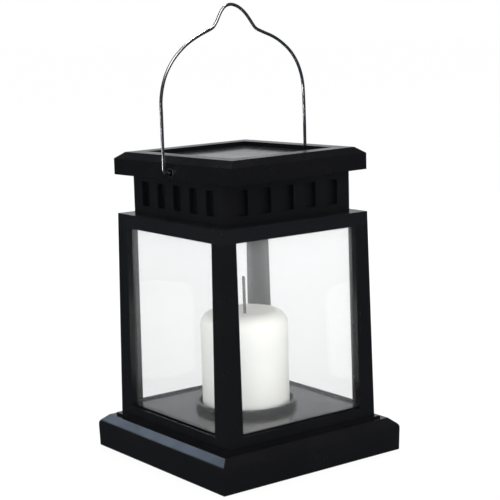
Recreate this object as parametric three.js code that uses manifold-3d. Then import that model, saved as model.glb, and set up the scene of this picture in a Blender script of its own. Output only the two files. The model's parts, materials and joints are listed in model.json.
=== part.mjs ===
import * as THREE from 'three';
import { mergeVertices } from 'three/addons/utils/BufferGeometryUtils.js';
import Module from 'manifold-3d';

// Square solar lantern with an LED candle, in millimetres, +Z up.
// The origin is the middle of the footprint, on the surface that the feet stand on.
// The front is the side that looks along -Y. "Half" is half of a square's width.

const wasm = await Module();
wasm.setup();

// ---------------------------------------------------------------------------
// Driving dimensions
// ---------------------------------------------------------------------------

const fit = 0.3;                      // gap round a moulding that drops into another

const thread = { screw: 1.1, hole: 1.15, clear: 1.4 };   // radii of a screw and of its holes

const plinth = {
  half: 57.5, bottomHalf: 57.2, bottom: 0.3, sideTop: 13.6, topHalf: 53.1, top: 17.4,
  stepHalf: 50.3, stepTop: 18.6, wall: 2.6, ceiling: 15.4,
  innerShoulder: 11.8, innerTopHalf: 50.5, shoulderRadius: 3,
  bossRadius: 3.2, bossDepth: 9, postRadius: 2.2, postX: 17, postY: -28,
};
const base = { thickness: 2, slack: 0.3, screwX: 47, screwY: 28, headRadius: 2.8, headSeat: 1.05 };
const foot = { radius: 6, height: 1, place: 47, recess: 0.8, slack: 0.2 };

const body = {
  bottom: plinth.stepTop, top: 127.4, bottomHalf: 48.1, topHalf: 46.5, depth: 5.5, cornerInner: 40.2,
};
const opening = { half: 38, sill: 24, head: 120.2 };
const bead = { near: 1.9, far: 3.1, height: 0.8, gap: 0.1 };   // raised strip at the foot of each pane
const pane = { setback: 3.2, thickness: 1.2, edge: 1.5, groove: 0.1 };
const peg = { size: 3.8, height: 2.5, slack: 0.3, place: 43.2 };
const roofPlate = 2;                  // closed top of the body

const neck = { half: 40, wall: 4, top: 148.3, plate: 3, bossSize: 7, bossHeight: 10, screwDepth: 8 };
const slot = { count: 5, pitch: 14.3, width: 6.6, sill: 132, head: 144.8, depth: 2.4 };
const collar = { outer: 30, inner: 27, top: 152.5, lugReach: 33, lugHeight: 1.8, lugs: 4 };
const lugArc = THREE.MathUtils.degToRad(24);
const notchArc = THREE.MathUtils.degToRad(28);
const releaseTurn = THREE.MathUtils.degToRad(30);
const capTurn = THREE.MathUtils.degToRad(5);    // the cap stands this far from square

const cap = {
  half: 46.4, bottom: 148.6, sideTop: 157, topHalf: 42.1, top: 160.2,
  wall: 2.5, ceiling: 154.4, shelf: 155.7, shelfHalf: 30, openingHalf: 34,
  bossPlace: 38, bossRadius: 3, bossBottom: 150.7, skin: 0.4,
};
const capBase = { thickness: 1.8, half: 43.6, holeGap: 0.4, headRadius: 2.5, headSeat: 1.2 };
const panel = { half: 33.6, seal: 0.3, board: 1, cell: 0.3, glass: 0.6, sealWidth: 3 };
const cell = { count: 4, width: 15.4, pitch: 16, length: 62 };

const bail = { wire: 0.85, left: -50.6, right: 47.55, pivot: 152, bend: 2.4, endInside: 42.6 };
const bailCurve = [
  [-50.6, 172], [-50.7, 181], [-50.8, 188.2], [-49.8, 194.9], [-47.5, 201.2], [-43.8, 206.9],
  [-38.9, 211.9], [-32.8, 216.1], [-25.3, 219.6], [-18.7, 222], [-15.4, 223.6], [-13.1, 226.4],
  [-11.4, 229.2], [-9.5, 232], [-6.8, 234.1], [-3, 234.8], [1, 233.9], [4.4, 232], [7.3, 229.7],
  [9.6, 227.2], [11.8, 224.6], [13.9, 222.4], [17.6, 220.8], [26.2, 217.5], [32.7, 213.8],
  [38.2, 209.2], [42.6, 203.6], [45.4, 197.7], [46.9, 191.5], [47.3, 184.5], [47.5, 176],
];
const bush = { outer: 2.6, inner: 1.8, proud: 0.2, slack: 0.2 };

const tray = {
  half: 42.1, top: 23.8, plate: 2.6, skirt: 2, cornerCut: 39.8,
  ringInner: 25.2, ringOuter: 27, ringTop: 27.4, ringBevel: 0.5, leadHole: 4,
};
const candle = { radius: 23.2, wall: 2.2, top: 75.2, edge: 7, dish: 1.8, cavityTop: 66 };
const wick = { radius: 0.95, top: 93.4, bottom: 69.5, gap: 0.2, x: 0.4, y: -0.4 };
const led = { radius: 2.5, flange: 2.9, height: 8.5, board: 1.6, boardRadius: 8 };

const board = { x: 20, front: -33, rear: -7, bottom: 6.6, thickness: 1.6 };
const toggle = {
  x: -8, y: -20, length: 4, width: 3, tip: 0.7, travel: 2.5,
  stemX: 1, stemY: 0.8, ribPitch: 1.2, ribHalf: 0.2, ribDepth: 0.3,
};
const switchCase = { length: 11, width: 5.6, bottom: 3.6, slotDepth: 1.2 };
const battery = { radius: 5.25, length: 44.5, nub: 0.8, nubRadius: 1.9, start: -27.4, y: 28, z: 9 };
const cradle = { x0: -29.4, x1: 21.4, half: 7.1, cavityHalf: 5.75, bottom: 2.7, top: 15.1, wall: 1.3 };
const spring = { wide: 3.6, narrow: 1.8, wire: 0.3, turns: 2.5, gap: 0.5 };
const contact = { thickness: 0.4, half: 4, reach: 5, gap: 0.1 };
const door = {
  half: 29.7, width: 21.4, thickness: 1, slack: 0.3, gap: 0.2, ledge: 1.5, bayEnd: 21.6,
  screwX: 26, bossRadius: 2.6, bossTop: 7, pilotTop: 6, headSeat: 0.5,
  ribs: 5, ribPitch: 1.8, ribHalf: 0.4, ribReach: 6, ribDepth: 0.4, ribPlace: 7,
};

const lead = { radius: 0.9, channel: 1.3, place: 43.2 };

const beyond = 60;                    // reaches past every face of the lantern

const corners = [
  ['front_left', -1, -1], ['front_right', 1, -1], ['rear_right', 1, 1], ['rear_left', -1, 1],
];

// ---------------------------------------------------------------------------
// Materials
// ---------------------------------------------------------------------------

const plastic = (color, roughness) => new THREE.MeshStandardMaterial({ color, roughness });
const metal = (color, roughness) =>
  new THREE.MeshStandardMaterial({ color, roughness, metalness: 1 });

const blackPlastic = plastic(0x17171a, 0.32);
const innerPlastic = plastic(0x222225, 0.5);
const rubber = plastic(0x1c1c1c, 0.85);
const wax = plastic(0xe8e6dc, 0.55);
const wickFinish = plastic(0x55524e, 0.8);
const silicon = plastic(0x141a2e, 0.25);
const fibreglass = plastic(0x1f5d3a, 0.5);
const sealant = plastic(0x2a2a2a, 0.6);
const leadFinish = plastic(0x9c1f1f, 0.5);
const wireSteel = metal(0xb8babd, 0.25);
const screwSteel = metal(0x9ea0a3, 0.35);
const springSteel = metal(0xc8c9cc, 0.25);
const cellWrap = plastic(0x2f7d4f, 0.4);
const clearSheet = new THREE.MeshStandardMaterial({
  color: 0xffffff, roughness: 0.05, transparent: true, opacity: 0.18,
});
const amberLens = new THREE.MeshStandardMaterial({
  color: 0xf2b84b, roughness: 0.15, transparent: true, opacity: 0.8,
});

// ---------------------------------------------------------------------------
// Solids
// ---------------------------------------------------------------------------

// A closed geometry becomes a solid: equal corners are merged, and the empty
// triangles that a lathe leaves on its axis are dropped.
function solid(geometry) {
  const plain = new THREE.BufferGeometry();
  plain.setAttribute('position', geometry.getAttribute('position').clone());
  if (geometry.index) plain.setIndex(geometry.index.clone());
  const merged = mergeVertices(plain, 1e-4);
  const corner = merged.index.array;
  const triVerts = [];
  for (let i = 0; i < corner.length; i += 3) {
    const [a, b, c] = [corner[i], corner[i + 1], corner[i + 2]];
    if (a !== b && b !== c && c !== a) triVerts.push(a, b, c);
  }
  return new wasm.Manifold(new wasm.Mesh({
    numProp: 3,
    vertProperties: new Float32Array(merged.getAttribute('position').array),
    triVerts: new Uint32Array(triVerts),
  }));
}

function block(x0, x1, y0, y1, z0, z1) {
  const shape = new THREE.BoxGeometry(x1 - x0, y1 - y0, z1 - z0);
  return solid(shape.translate((x0 + x1) / 2, (y0 + y1) / 2, (z0 + z1) / 2));
}

// A profile of [half, height] points swept round a square.
function square(profile) {
  const points = profile.map(([half, z]) => new THREE.Vector2(half * Math.SQRT2, z));
  const shape = new THREE.LatheGeometry(points, 4);
  return solid(shape.rotateX(Math.PI / 2).rotateZ(Math.PI / 4));
}

// A profile of [radius, height] points turned round the Z axis.
function turned(profile, sides = 24) {
  const points = profile.map(([radius, z]) => new THREE.Vector2(radius, z));
  return solid(new THREE.LatheGeometry(points, sides).rotateX(Math.PI / 2));
}

function rod(radius, z0, z1, x = 0, y = 0, sides = 12) {
  return turned([[0, z0], [radius, z0], [radius, z1], [0, z1]], sides).translate([x, y, 0]);
}

function rodAlongX(radius, x0, x1, y, z, sides = 20) {
  return rod(radius, x0, x1, 0, 0, sides).rotate([0, 90, 0]).translate([0, y, z]);
}

// A slice of a flat ring, from one radius to another, centred on an angle.
function ringSlice(inner, outer, z0, z1, angle, arc) {
  const outline = new THREE.Shape();
  outline.absarc(0, 0, outer, angle - arc / 2, angle + arc / 2, false);
  outline.absarc(0, 0, inner, angle + arc / 2, angle - arc / 2, true);
  outline.closePath();
  const options = { depth: z1 - z0, bevelEnabled: false, curveSegments: 4 };
  return solid(new THREE.ExtrudeGeometry(outline, options).translate(0, 0, z0));
}

function tube(path, radius, steps, sides = 8) {
  const section = new THREE.Shape();
  section.absarc(0, 0, radius, 0, 2 * Math.PI, false);
  const options = { extrudePath: path, steps, bevelEnabled: false, curveSegments: sides / 2 };
  return solid(new THREE.ExtrudeGeometry(section, options));
}

// A path drawn in X and Z, lying in the plane Y = 0.
class UprightCurve extends THREE.Curve {
  constructor(outline) {
    super();
    this.outline = outline;
  }

  getPoint(t, target = new THREE.Vector3()) {
    const point = this.outline.getPoint(t);
    return target.set(point.x, 0, point.y);
  }
}

function node(name, shape, material) {
  const mesh = shape.getMesh();
  const geometry = new THREE.BufferGeometry();
  geometry.setAttribute('position', new THREE.BufferAttribute(mesh.vertProperties, 3));
  geometry.setIndex(new THREE.BufferAttribute(mesh.triVerts, 1));
  geometry.computeVertexNormals();
  const result = new THREE.Mesh(geometry, material);
  result.name = name;
  return result;
}

// A screw driven upwards: the head hangs under its seat, with a cross recess.
function screw(name, x, y, seat, head, length) {
  const bottom = seat - head.height;
  const tip = seat + length;
  const form = turned([
    [0, bottom], [head.radius - 0.3, bottom], [head.radius, bottom + 0.3], [head.radius, seat],
    [thread.screw, seat], [thread.screw, tip - 0.8], [0, tip],
  ], 10);
  const reach = head.radius * 0.6;
  const recess = bottom + head.height * 0.6;
  const cross = block(-reach, reach, -0.3, 0.3, bottom - 1, recess)
    .add(block(-0.3, 0.3, -reach, reach, bottom - 1, recess));
  return node(name, form.subtract(cross).translate([x, y, 0]), screwSteel);
}

const lantern = new THREE.Group();
const capGroup = new THREE.Group();
capGroup.rotation.z = capTurn;
lantern.add(capGroup);

// ---------------------------------------------------------------------------
// Lead from the solar panel down the rear right post to the circuit board
// ---------------------------------------------------------------------------

const leadSteps = 64;
const leadRoute = new THREE.CatmullRomCurve3([
  [0, 0, 154.9], [0, 0, 148], [1.5, 1.5, 141], [10, 10, 134], [20, 20, 130.5],
  [23.8, 23.8, 128], [24.6, 24.6, 126], [28, 28, 124.2], [35, 35, 123.9], [40.4, 40.4, 123.4],
  [43, 43, 121], [43.2, 43.2, 116], [43.2, 43.2, 90], [43.2, 43.2, 60], [43.2, 43.2, 30],
  [43.2, 43.2, 17], [42.6, 41.8, 12.5], [40, 36, 10.6], [37.5, 20, 10], [33, 2, 10],
  [25, -10, 9.7], [17, -15, 9.5],
].map((point) => new THREE.Vector3(...point)), false, 'centripetal');

function panelLead() {
  return node('panel_lead', tube(leadRoute, lead.radius, leadSteps), leadFinish);
}

function leadBore(z0, z1) {
  return rod(lead.channel, z0, z1, lead.place, lead.place, 12);
}

// The bent part of the lead's channel, above the straight bore of the post.
function leadBend() {
  const above = block(0, beyond, 0, beyond, opening.head - 3, neck.top);
  return tube(leadRoute, lead.channel, leadSteps).intersect(above);
}

// ---------------------------------------------------------------------------
// Plinth, base cover and feet
// ---------------------------------------------------------------------------

// The rounded edge between the plinth's side and its sloping top.
function plinthShoulder() {
  const { half, sideTop, topHalf, top, shoulderRadius: radius } = plinth;
  const turn = Math.PI / 2 - Math.atan2(top - sideTop, half - topHalf);
  const start = sideTop - radius * Math.tan(turn / 2);
  const steps = 4;
  return Array.from({ length: steps + 1 }, (_, i) => {
    const angle = turn * i / steps;
    return [half - radius * (1 - Math.cos(angle)), start + radius * Math.sin(angle)];
  });
}

function plinthShell() {
  const inner = plinth.half - plinth.wall;
  let shape = square([
    [0, plinth.ceiling], [plinth.innerTopHalf, plinth.ceiling], [inner, plinth.innerShoulder],
    [inner, plinth.bottom], [plinth.bottomHalf, plinth.bottom], ...plinthShoulder(),
    [plinth.topHalf, plinth.top], [plinth.stepHalf, plinth.top],
    [plinth.stepHalf, plinth.stepTop], [0, plinth.stepTop],
  ]);
  const bossBottom = plinth.bottom + base.thickness + fit;
  for (const [, sx, sy] of corners) {
    const [x, y] = [sx * base.screwX, sy * base.screwY];
    shape = shape.add(rod(plinth.bossRadius, bossBottom, plinth.ceiling + 1, x, y));
    const hole = rod(thread.hole, bossBottom - 1, bossBottom + plinth.bossDepth, x, y, 12);
    shape = shape.subtract(hole);
  }
  for (const sx of [-1, 1]) {
    const boardTop = board.bottom + board.thickness;
    shape = shape.add(rod(plinth.postRadius, boardTop, plinth.ceiling + 1, sx * plinth.postX, plinth.postY));
  }
  shape = shape.subtract(rod(tray.leadHole, plinth.ceiling - 1, plinth.stepTop + 1));
  return node('plinth', shape.subtract(leadBore(plinth.ceiling - 1, plinth.stepTop + 1)), blackPlastic);
}

function baseCover() {
  const half = plinth.half - plinth.wall - base.slack;
  const [z0, z1] = [plinth.bottom, plinth.bottom + base.thickness];
  let shape = block(-half, half, -half, half, z0, z1);
  for (const [, sx, sy] of corners) {
    const [x, y] = [sx * base.screwX, sy * base.screwY];
    shape = shape.subtract(rod(thread.clear, z0 - 1, z1 + 1, x, y, 12));
    shape = shape.subtract(rod(base.headRadius, z0 - 1, z0 + base.headSeat, x, y));
    const footSeat = rod(foot.radius + foot.slack, z0 - 1, z0 + foot.recess, 0, 0, 24);
    shape = shape.subtract(footSeat.translate([sx * foot.place, sy * foot.place, 0]));
  }
  const doorHalf = door.half + door.slack;
  const doorY = door.width / 2 + door.slack;
  const seat = z0 + door.thickness + door.gap;
  shape = shape.subtract(block(-doorHalf, doorHalf, battery.y - doorY, battery.y + doorY, z0 - 1, seat));
  const inner = doorY - door.ledge;
  shape = shape.subtract(block(-doorHalf + door.ledge, door.bayEnd, battery.y - inner, battery.y + inner,
    z0, z1 + 1));
  shape = shape.add(rod(door.bossRadius, seat, door.bossTop, door.screwX, battery.y));
  shape = shape.subtract(rod(thread.hole, z0, door.pilotTop, door.screwX, battery.y, 12));
  const x0 = toggle.x - toggle.length / 2 - fit;
  const x1 = toggle.x + toggle.length / 2 + toggle.travel + fit;
  const reach = toggle.width / 2 + fit;
  shape = shape.subtract(block(x0, x1, toggle.y - reach, toggle.y + reach, z0 - 1, z1 + 1));
  return node('base_cover', shape, blackPlastic);
}

function rubberFoot(number, sx, sy) {
  const form = turned([
    [0, 0], [foot.radius - 0.4, 0], [foot.radius, 0.4], [foot.radius, foot.height], [0, foot.height],
  ], 24);
  return node(`rubber_foot_${number}`, form.translate([sx * foot.place, sy * foot.place, 0]), rubber);
}

function baseScrew(number, sx, sy) {
  const head = { radius: 2.5, height: 0.9 };
  const length = 9;
  const seat = plinth.bottom + base.headSeat;
  return screw(`base_screw_${number}`, sx * base.screwX, sy * base.screwY, seat, head, length);
}

// ---------------------------------------------------------------------------
// Battery bay
// ---------------------------------------------------------------------------

function batteryDoor() {
  const [z0, z1] = [plinth.bottom, plinth.bottom + door.thickness];
  const reach = door.width / 2;
  let shape = block(-door.half, door.half, battery.y - reach, battery.y + reach, z0, z1);
  for (let i = 0; i < door.ribs; i += 1) {
    const x = -door.half + door.ribPlace + (i - (door.ribs - 1) / 2) * door.ribPitch;
    shape = shape.subtract(block(x - door.ribHalf, x + door.ribHalf,
      battery.y - door.ribReach, battery.y + door.ribReach, z0 - 1, z0 + door.ribDepth));
  }
  shape = shape.subtract(rod(thread.clear, z0 - 1, z1 + 1, door.screwX, battery.y, 12));
  const headHole = rod(door.bossRadius, z0 - 1, z0 + door.headSeat, door.screwX, battery.y);
  return node('battery_door', shape.subtract(headHole), blackPlastic);
}

function batteryDoorScrew() {
  const head = { radius: 2.2, height: 0.45 };
  const length = 4.4;
  return screw('battery_door_screw', door.screwX, battery.y, plinth.bottom + door.headSeat, head, length);
}

function batteryCradle() {
  const { x0, x1, wall } = cradle;
  const [y0, y1] = [battery.y - cradle.half, battery.y + cradle.half];
  const cavity = block(x0 + wall, x1 - wall, battery.y - cradle.cavityHalf, battery.y + cradle.cavityHalf,
    cradle.bottom - 1, battery.z + cradle.cavityHalf - 0.3);
  const shape = block(x0, x1, y0, y1, cradle.bottom, cradle.top).subtract(cavity);
  return node('battery_cradle', shape, innerPlastic);
}

function batteryCell() {
  const end = battery.length;
  const form = turned([
    [0, 0], [battery.nubRadius, 0], [battery.nubRadius, battery.nub], [battery.radius - 0.4, battery.nub],
    [battery.radius, battery.nub + 0.4], [battery.radius, end - 0.4], [battery.radius - 0.4, end], [0, end],
  ], 20);
  const placed = form.rotate([0, 90, 0]).translate([battery.start, battery.y, battery.z]);
  return node('battery_cell', placed, cellWrap);
}

function contactPlate() {
  const x0 = cradle.x0 + cradle.wall + contact.gap;
  const shape = block(x0, x0 + contact.thickness, battery.y - contact.half, battery.y + contact.half,
    battery.z - contact.reach, battery.z + contact.reach);
  return node('battery_contact_plate', shape, springSteel);
}

class Coil extends THREE.Curve {
  constructor(wide, narrow, height, turns) {
    super();
    Object.assign(this, { wide, narrow, height, turns });
  }

  getPoint(t, target = new THREE.Vector3()) {
    const angle = 2 * Math.PI * this.turns * t;
    const radius = THREE.MathUtils.lerp(this.wide, this.narrow, t);
    return target.set(this.height * (1 - t), radius * Math.cos(angle), radius * Math.sin(angle));
  }
}

function contactSpring() {
  const start = battery.start + battery.length;
  const room = cradle.x1 - cradle.wall - start;
  const path = new Coil(spring.wide, spring.narrow, room - 2 * spring.gap, spring.turns);
  const placed = tube(path, spring.wire, 26, 6).translate([start + spring.gap, battery.y, battery.z]);
  return node('battery_contact_spring', placed, springSteel);
}

// ---------------------------------------------------------------------------
// Circuit board and on-off switch
// ---------------------------------------------------------------------------

function circuitBoard() {
  const { x, front, rear, bottom, thickness } = board;
  const shape = block(-x, x, front, rear, bottom, bottom + thickness);
  return node('circuit_board', shape, fibreglass);
}

function switchHousing() {
  const middle = toggle.x + toggle.travel / 2;
  const half = switchCase.length / 2;
  const reach = switchCase.width / 2;
  const slotHalf = toggle.stemX + toggle.travel / 2 + fit;
  const slotReach = toggle.stemY + fit;
  const shape = block(middle - half, middle + half, toggle.y - reach, toggle.y + reach,
    switchCase.bottom, board.bottom);
  const cut = block(middle - slotHalf, middle + slotHalf, toggle.y - slotReach, toggle.y + slotReach,
    switchCase.bottom - 1, switchCase.bottom + switchCase.slotDepth);
  return node('switch_housing', shape.subtract(cut), screwSteel);
}

function switchKnob() {
  const [half, reach] = [toggle.length / 2, toggle.width / 2];
  let shape = block(toggle.x - half, toggle.x + half, toggle.y - reach, toggle.y + reach,
    toggle.tip, switchCase.bottom - fit);
  for (const step of [-1, 0, 1]) {
    const x = toggle.x + step * toggle.ribPitch;
    shape = shape.subtract(block(x - toggle.ribHalf, x + toggle.ribHalf, toggle.y - toggle.width,
      toggle.y + toggle.width, toggle.tip - 1, toggle.tip + toggle.ribDepth));
  }
  const stem = block(toggle.x - toggle.stemX, toggle.x + toggle.stemX,
    toggle.y - toggle.stemY, toggle.y + toggle.stemY,
    switchCase.bottom - 1, switchCase.bottom + switchCase.slotDepth - fit);
  return node('switch_knob', shape.add(stem), blackPlastic);
}

// ---------------------------------------------------------------------------
// Body: sill frame, posts, panes and top frame. The four sides lean in slightly.
// ---------------------------------------------------------------------------

function bodyHalf(z) {
  return THREE.MathUtils.mapLinear(z, body.bottom, body.top, body.bottomHalf, body.topHalf);
}

// The walls of the body between two heights, from one depth behind the face to another.
function bodyWall(z0, z1, near, far) {
  return square([
    [bodyHalf(z0) - far, z0], [bodyHalf(z0) - near, z0], [bodyHalf(z1) - near, z1],
    [bodyHalf(z1) - far, z1], [bodyHalf(z0) - far, z0],
  ]);
}

// The sheet that fills a window, or the groove that it stands in, in all four sides at once.
function glazing(slack) {
  const reach = opening.half + pane.edge + slack;
  const z0 = opening.sill - pane.edge - slack;
  const z1 = opening.head + pane.edge + slack;
  const sheet = bodyWall(z0, z1, pane.setback - slack, pane.setback + pane.thickness + slack);
  const along = block(-reach, reach, -beyond, beyond, z0, z1);
  const across = block(-beyond, beyond, -reach, reach, z0, z1);
  return sheet.intersect(along.add(across));
}

function pegs(slack, z0, z1) {
  const reach = peg.size / 2 + slack;
  let shape = null;
  for (const [, sx, sy] of corners) {
    const [x, y] = [sx * peg.place, sy * peg.place];
    const one = block(x - reach, x + reach, y - reach, y + reach, z0, z1);
    shape = shape ? shape.add(one) : one;
  }
  return shape;
}

// The thicker inner corners, which hold the pegs.
function cornerBosses(z0, z1) {
  const inner = body.cornerInner;
  const column = bodyWall(z0, z1, 0, bodyHalf(z0) - inner);
  let shape = null;
  for (const [, sx, sy] of corners) {
    const [x0, x1] = sx > 0 ? [inner, beyond] : [-beyond, -inner];
    const [y0, y1] = sy > 0 ? [inner, beyond] : [-beyond, -inner];
    const one = column.intersect(block(x0, x1, y0, y1, z0, z1));
    shape = shape ? shape.add(one) : one;
  }
  return shape;
}

// The raised strip in front of each pane, between the posts.
function glazingBeads() {
  const [z0, z1] = [opening.sill - bead.gap, opening.sill + bead.height];
  const reach = opening.half - bead.gap;
  const along = block(-reach, reach, -beyond, beyond, z0, z1);
  const across = block(-beyond, beyond, -reach, reach, z0, z1);
  return bodyWall(z0, z1, bead.near, bead.far).intersect(along.add(across));
}

function sillFrame() {
  const frame = bodyWall(body.bottom, opening.sill, 0, body.depth)
    .add(cornerBosses(body.bottom, opening.sill));
  const sockets = pegs(peg.slack, opening.sill - peg.height - peg.slack, opening.sill + 1);
  const cut = glazing(pane.groove).add(sockets).add(leadBore(body.bottom - 1, opening.sill));
  return node('sill_frame', frame.subtract(cut).add(glazingBeads()), blackPlastic);
}

function topFrame() {
  const under = body.top - roofPlate;
  let shape = square([
    [0, under], [bodyHalf(under) - body.depth, under], [bodyHalf(opening.head) - body.depth, opening.head],
    [bodyHalf(opening.head), opening.head], [body.topHalf, body.top], [0, body.top],
  ]);
  shape = shape.add(cornerBosses(opening.head, under + 1)).subtract(glazing(pane.groove));
  shape = shape.subtract(pegs(peg.slack, opening.head - 1, opening.head + peg.height + peg.slack));
  for (const [x, y] of neckScrewPlaces()) {
    shape = shape.subtract(rod(thread.clear, under - 1, body.top + 1, x, y, 12));
  }
  return node('top_frame', shape.subtract(leadBend()), blackPlastic);
}

function cornerPost(name, sx, sy) {
  const [x0, x1] = sx > 0 ? [opening.half, beyond] : [-beyond, -opening.half];
  const [y0, y1] = sy > 0 ? [opening.half, beyond] : [-beyond, -opening.half];
  const corner = block(x0, x1, y0, y1, opening.sill, opening.head);
  const column = bodyWall(opening.sill, opening.head, 0, body.depth)
    .add(cornerBosses(opening.sill, opening.head)).intersect(corner);
  const quarter = block(x0, x1, y0, y1, 0, body.top);
  const ends = pegs(0, opening.sill - peg.height, opening.head + peg.height).intersect(quarter);
  let shape = column.add(ends).subtract(glazing(pane.groove));
  if (sx > 0 && sy > 0) shape = shape.subtract(leadBore(0, opening.head - 2).add(leadBend()));
  return node(`corner_post_${name}`, shape, blackPlastic);
}

function windowPane(name, side) {
  const sheets = glazing(0);
  return node(`window_pane_${name}`, sheets.intersect(side), clearSheet);
}

function windowPanes() {
  const tall = [0, body.top];
  const middle = opening.half + pane.edge + 0.5;
  return [
    windowPane('front', block(-beyond, beyond, -beyond, -middle, ...tall)),
    windowPane('rear', block(-beyond, beyond, middle, beyond, ...tall)),
    windowPane('left', block(-beyond, -middle, -beyond, beyond, ...tall)),
    windowPane('right', block(middle, beyond, -beyond, beyond, ...tall)),
  ];
}

// ---------------------------------------------------------------------------
// Neck with its slots and the round bayonet collar
// ---------------------------------------------------------------------------

function neckScrewPlaces() {
  const place = neck.half - neck.wall - neck.bossSize / 2;
  return [[place, 0], [0, place], [-place, 0], [0, -place]];
}

// The recesses of one face, cut into the face at -Y.
function neckSlots() {
  let shape = null;
  for (let i = 0; i < slot.count; i += 1) {
    const x = (i - (slot.count - 1) / 2) * slot.pitch;
    const one = block(x - slot.width / 2, x + slot.width / 2, -neck.half - 1, -neck.half + slot.depth,
      slot.sill, slot.head);
    shape = shape ? shape.add(one) : one;
  }
  return shape;
}

function neckPart() {
  const inner = neck.half - neck.wall;
  const underPlate = neck.top - neck.plate;
  let shape = square([
    [0, underPlate], [inner, underPlate], [inner, body.top], [neck.half, body.top],
    [neck.half, neck.top], [0, neck.top],
  ]);
  for (const [x, y] of neckScrewPlaces()) {
    const reach = neck.bossSize / 2;
    shape = shape.add(block(
      x - reach - (x < 0 ? 1 : 0), x + reach + (x > 0 ? 1 : 0),
      y - reach - (y < 0 ? 1 : 0), y + reach + (y > 0 ? 1 : 0),
      body.top, body.top + neck.bossHeight,
    ));
    shape = shape.subtract(rod(thread.hole, body.top - 1, body.top + neck.screwDepth, x, y, 12));
  }
  for (let side = 0; side < 4; side += 1) shape = shape.subtract(neckSlots().rotate([0, 0, 90 * side]));
  shape = shape.add(rod(collar.outer, underPlate, collar.top, 0, 0, 36));
  for (let i = 0; i < collar.lugs; i += 1) {
    const angle = (i + 0.5) * 2 * Math.PI / collar.lugs;
    shape = shape.add(ringSlice(collar.inner + 1, collar.lugReach, collar.top - collar.lugHeight,
      collar.top, angle, lugArc));
  }
  shape = shape.subtract(rod(collar.inner, underPlate - 1, collar.top + 1, 0, 0, 36));
  return node('neck', shape, blackPlastic);
}

function neckScrew(number, x, y) {
  const head = { radius: 2.6, height: 1.5 };
  const length = neck.screwDepth;
  return screw(`neck_screw_${number}`, x, y, body.top - roofPlate, head, length);
}

// ---------------------------------------------------------------------------
// Cap with the solar panel. These parts turn together.
// ---------------------------------------------------------------------------

function capShell() {
  const inner = cap.half - cap.wall;
  let shape = square([
    [cap.shelfHalf, cap.ceiling], [inner, cap.ceiling], [inner, cap.bottom], [cap.half, cap.bottom],
    [cap.half, cap.sideTop], [cap.topHalf, cap.top], [cap.openingHalf, cap.top],
    [cap.openingHalf, cap.shelf], [cap.shelfHalf, cap.shelf], [cap.shelfHalf, cap.ceiling],
  ]);
  for (const [, sx, sy] of corners) {
    const [x, y] = [sx * cap.bossPlace, sy * cap.bossPlace];
    shape = shape.add(rod(cap.bossRadius, cap.bossBottom, cap.ceiling + 0.5, x, y));
    shape = shape.subtract(rod(thread.hole, cap.bossBottom - 1, cap.ceiling, x, y, 12));
  }
  const hole = bush.outer + bush.slack;
  shape = shape.subtract(rodAlongX(hole, inner - cap.skin, cap.half + 1, 0, bail.pivot));
  shape = shape.subtract(rodAlongX(hole, -cap.half - 1, -inner + cap.skin, 0, bail.pivot));
  return node('cap', shape, blackPlastic);
}

function capBasePlate() {
  const [z0, z1] = [cap.bottom, cap.bottom + capBase.thickness];
  const hole = collar.outer + capBase.holeGap;
  let shape = block(-capBase.half, capBase.half, -capBase.half, capBase.half, z0, z1);
  shape = shape.subtract(rod(hole, z0 - 1, z1 + 1, 0, 0, 36));
  for (let i = 0; i < collar.lugs; i += 1) {
    const angle = (i + 0.5) * 2 * Math.PI / collar.lugs - releaseTurn;
    shape = shape.subtract(ringSlice(hole - 2, collar.lugReach + capBase.holeGap, z0 - 1, z1 + 1,
      angle, notchArc));
  }
  for (const [, sx, sy] of corners) {
    const [x, y] = [sx * cap.bossPlace, sy * cap.bossPlace];
    shape = shape.subtract(rod(thread.clear, z0 - 1, z1 + 1, x, y, 12));
    shape = shape.subtract(rod(capBase.headRadius, z0 - 1, z0 + capBase.headSeat, x, y));
  }
  return node('cap_base_plate', shape, blackPlastic);
}

function capScrew(number, sx, sy) {
  const head = { radius: 2.2, height: 0.9 };
  const length = 3;
  const seat = cap.bottom + capBase.headSeat;
  return screw(`cap_screw_${number}`, sx * cap.bossPlace, sy * cap.bossPlace, seat, head, length);
}

function panelSeal() {
  const inner = panel.half - panel.sealWidth;
  const [z0, z1] = [cap.shelf, cap.shelf + panel.seal];
  return node('panel_seal', square([
    [inner, z0], [panel.half, z0], [panel.half, z1], [inner, z1], [inner, z0],
  ]), sealant);
}

const boardFloor = cap.shelf + panel.seal;
const cellFloor = boardFloor + panel.board;
const glassFloor = cellFloor + panel.cell;

function panelBoard() {
  const { half } = panel;
  return node('panel_board', block(-half, half, -half, half, boardFloor, cellFloor), innerPlastic);
}

function solarCell(index) {
  const x = (index - (cell.count - 1) / 2) * cell.pitch;
  const [half, reach] = [cell.width / 2, cell.length / 2];
  const shape = block(x - half, x + half, -reach, reach, cellFloor, glassFloor);
  return node(`solar_cell_${index + 1}`, shape, silicon);
}

function panelGlass() {
  const { half } = panel;
  const shape = block(-half, half, -half, half, glassFloor, glassFloor + panel.glass);
  return node('panel_glass', shape, clearSheet);
}

function bailBush(name, side) {
  const [near, far] = [cap.half - cap.wall, cap.half + bush.proud];
  const [x0, x1] = side > 0 ? [near, far] : [-far, -near];
  const ring = rodAlongX(bush.outer, x0, x1, 0, bail.pivot)
    .subtract(rodAlongX(bush.inner, x0 - 1, x1 + 1, 0, bail.pivot));
  return node(`bail_bush_${name}`, ring, innerPlastic);
}

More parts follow.
